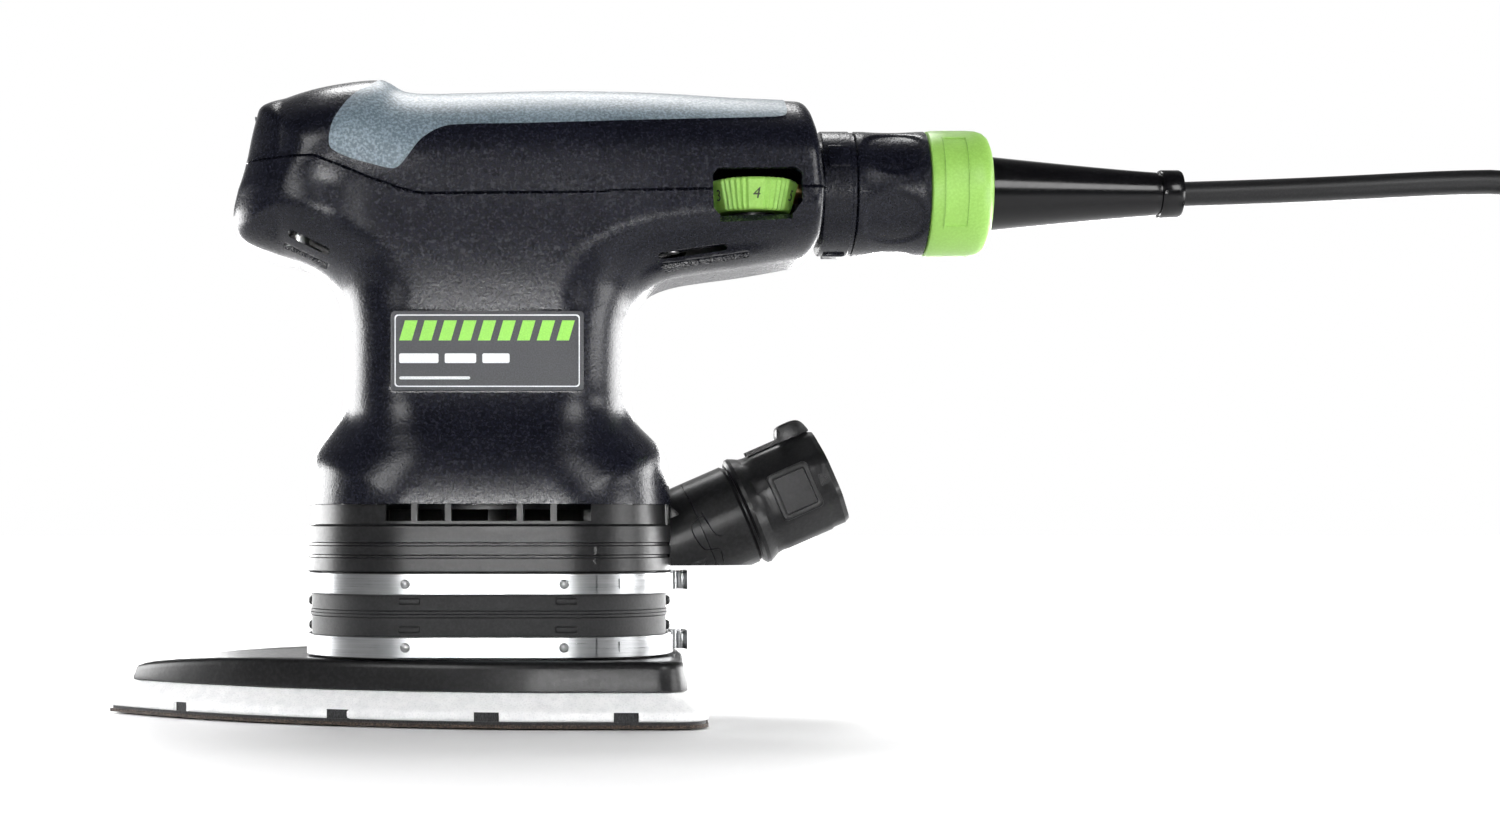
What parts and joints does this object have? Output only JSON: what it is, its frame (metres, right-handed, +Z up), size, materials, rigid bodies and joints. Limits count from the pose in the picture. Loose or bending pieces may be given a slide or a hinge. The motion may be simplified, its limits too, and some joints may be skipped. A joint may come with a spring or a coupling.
{
  "type": "detail mouse sander",
  "caption": "Corded palm sander with a delta pad on an eccentric drive, side dust port, speed dial, rocker switch and a detachable supply lead.",
  "frame": {"origin": "on the motor axis at the sole, the face of the abrasive sheet", "axes": "+Z up along the motor axis, +X towards the supply lead, -X towards the pad's tip"},
  "size_m": [0.4981, 0.1523, 0.1577],
  "materials": {
    "navy_shell": "fine textured moulded plastic",
    "soft_inlay": "soft-touch grip",
    "badge": "satin label",
    "black_plastic": "glass-filled plastic, textured",
    "green_plastic": "satin coloured plastic",
    "glossy_black": "glossy flexible plastic",
    "rubber": "matt rubber",
    "steel": "bright rolled strip",
    "screw_steel": "zinc plated",
    "bearing_steel": "ground steel",
    "laminations": "electrical steel",
    "copper": "enamelled copper",
    "brass": "turned brass",
    "carbon": "pressed carbon",
    "board": "circuit board",
    "foam": "dense moulded foam",
    "velour": "hook fabric",
    "abrasive": "coated grit",
    "cord": "rubber sheathed cable"
  },
  "bodies": {
    "housing": {"lower_housing": "navy_shell", "upper_housing": "navy_shell", "grip_inlay": "soft_inlay", "badge_plate": "badge", "housing_screws": "screw_steel", "fan_housing": "black_plastic", "fan_housing_screws": "screw_steel", "dust_port": "black_plastic", "dust_port_end": "black_plastic", "upper_clamp_band": "steel", "upper_band_clasp": "steel", "rubber_sleeve": "rubber", "lower_bearing_plate": "black_plastic", "upper_bearing_bracket": "black_plastic", "stator_core": "laminations", "stator_windings": "copper", "brush_holders": "brass", "carbon_brushes": "carbon", "brush_springs": "screw_steel", "switch_body": "black_plastic", "speed_control_board": "board", "speed_potentiometer": "black_plastic", "motor_leads": "cord", "power_inlet": "black_plastic", "inlet_pins": "brass", "lower_bearing_outer_ring": "bearing_steel", "upper_bearing_outer_ring": "bearing_steel"},
    "rotor": {"motor_shaft": "bearing_steel", "armature_core": "laminations", "armature_winding": "copper", "commutator": "copper", "lower_bearing_inner_ring": "bearing_steel", "upper_bearing_inner_ring": "bearing_steel", "bearing_balls": "bearing_steel", "pad_bearing_inner_ring": "bearing_steel", "double_fan": "black_plastic", "counterweight": "screw_steel", "eccentric_journal": "bearing_steel", "bearing_retaining_screw": "screw_steel", "bearing_washer": "screw_steel"},
    "pad": {"pad_bearing_outer_ring": "bearing_steel", "pad_carrier": "black_plastic", "pad_screws": "screw_steel", "lower_clamp_band": "steel", "lower_band_clasp": "steel", "sanding_pad": "foam", "hook_layer": "velour", "abrasive_sheet": "abrasive"},
    "rocker": {"switch_rocker": "glossy_black"},
    "dial": {"speed_dial": "green_plastic", "dial_shaft": "black_plastic"},
    "plug": {"plug_body": "green_plastic", "plug_contacts": "brass", "strain_relief": "glossy_black", "cord_lead": "cord", "cord_coil": "cord", "cord_tail": "cord", "mains_plug": "glossy_black", "mains_plug_pins": "brass"},
    "collar": {"locking_collar": "black_plastic"}
  },
  "joints": [
    {"name": "rotor_spin", "type": "hinge", "parent": "housing", "child": "rotor", "pos_m": [0, 0, 0.07], "axis": [0, 0, 1], "continuous": true, "deforming": ["rubber_sleeve"]},
    {"name": "pad_orbit", "type": "hinge", "parent": "rotor", "child": "pad", "pos_m": [0.001, 0, 0.018], "axis": [0, 0, 1], "continuous": true},
    {"name": "switch_rocking", "type": "hinge", "parent": "housing", "child": "rocker", "pos_m": [-0.0536, 0, 0.1448], "axis": [0, 1, 0], "range_deg": [0, 10]},
    {"name": "speed_turning", "type": "hinge", "parent": "housing", "child": "dial", "pos_m": [0.0655, -0.0183, 0.127], "axis": [0, 0, 1], "range_deg": [-180, 120]},
    {"name": "plug_pull", "type": "slide", "parent": "housing", "child": "plug", "axis": [1, 0, 0], "range_m": [0, 0.03]},
    {"name": "collar_turn", "type": "hinge", "parent": "plug", "child": "collar", "pos_m": [0.1, 0, 0.131], "axis": [1, 0, 0], "range_deg": [0, 40]}
  ],
  "couplings": [
    {"joint": "pad_orbit", "follows": "rotor_spin", "ratio": -1}
  ]
}
